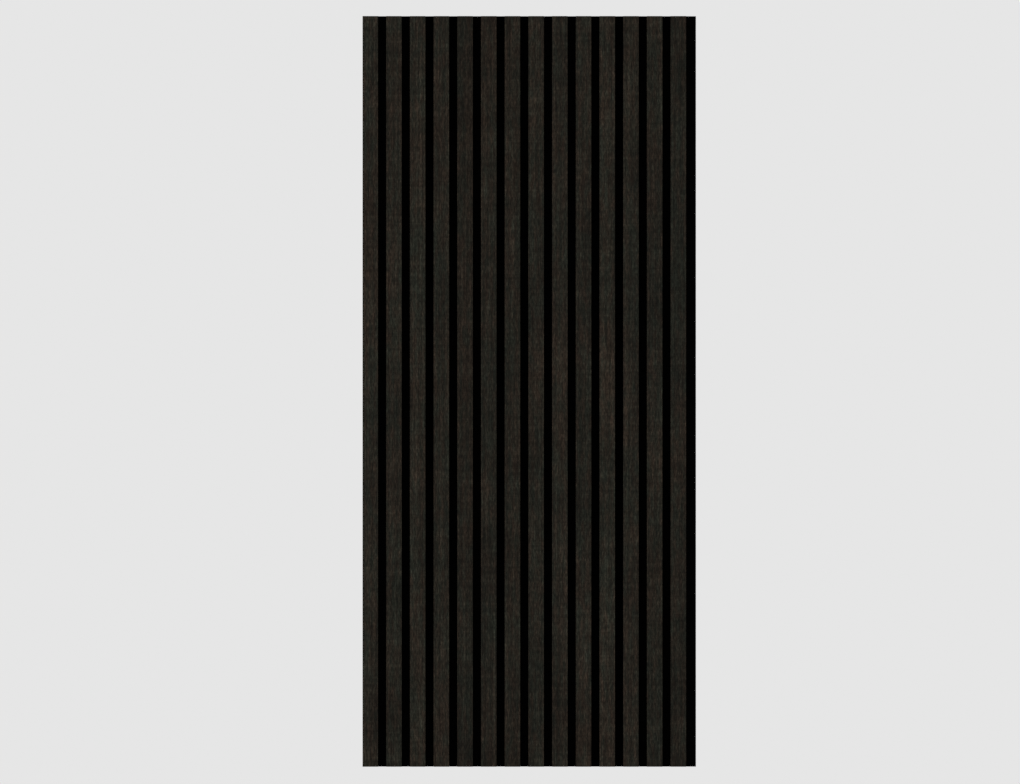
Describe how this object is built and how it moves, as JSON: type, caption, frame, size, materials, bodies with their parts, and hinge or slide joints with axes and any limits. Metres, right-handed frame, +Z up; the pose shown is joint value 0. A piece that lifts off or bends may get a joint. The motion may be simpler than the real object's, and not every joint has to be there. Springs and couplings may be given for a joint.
{
  "type": "acoustic wall panel",
  "caption": "Slatted acoustic wall panel: upright slats faced in dark wood veneer, stapled through a sheet of black pressed felt that runs on past the last slat as a bare tongue.",
  "frame": {"origin": "centre of the felt's flat back face, which goes against the wall", "axes": "+Y points from the front into the wall; +Z runs up along the slats; +X runs across the slats, to the right as seen from the front"},
  "size_m": [0.605, 0.021, 1.362],
  "materials": {
    "felt": "matte",
    "board": "matte",
    "veneer": "satin",
    "staple_steel": "satin"
  },
  "bodies": {
    "root": {"felt_backing": "felt", "slat_core_01": "board", "slat_core_02": "board", "slat_core_03": "board", "slat_core_04": "board", "slat_core_05": "board", "slat_core_06": "board", "slat_core_07": "board", "slat_core_08": "board", "slat_core_09": "board", "slat_core_10": "board", "slat_core_11": "board", "slat_core_12": "board", "slat_core_13": "board", "slat_core_14": "board", "slat_veneer_01": "veneer", "slat_veneer_02": "veneer", "slat_veneer_03": "veneer", "slat_veneer_04": "veneer", "slat_veneer_05": "veneer", "slat_veneer_06": "veneer", "slat_veneer_07": "veneer", "slat_veneer_08": "veneer", "slat_veneer_09": "veneer", "slat_veneer_10": "veneer", "slat_veneer_11": "veneer", "slat_veneer_12": "veneer", "slat_veneer_13": "veneer", "slat_veneer_14": "veneer", "staples": "staple_steel"}
  },
  "joints": []
}
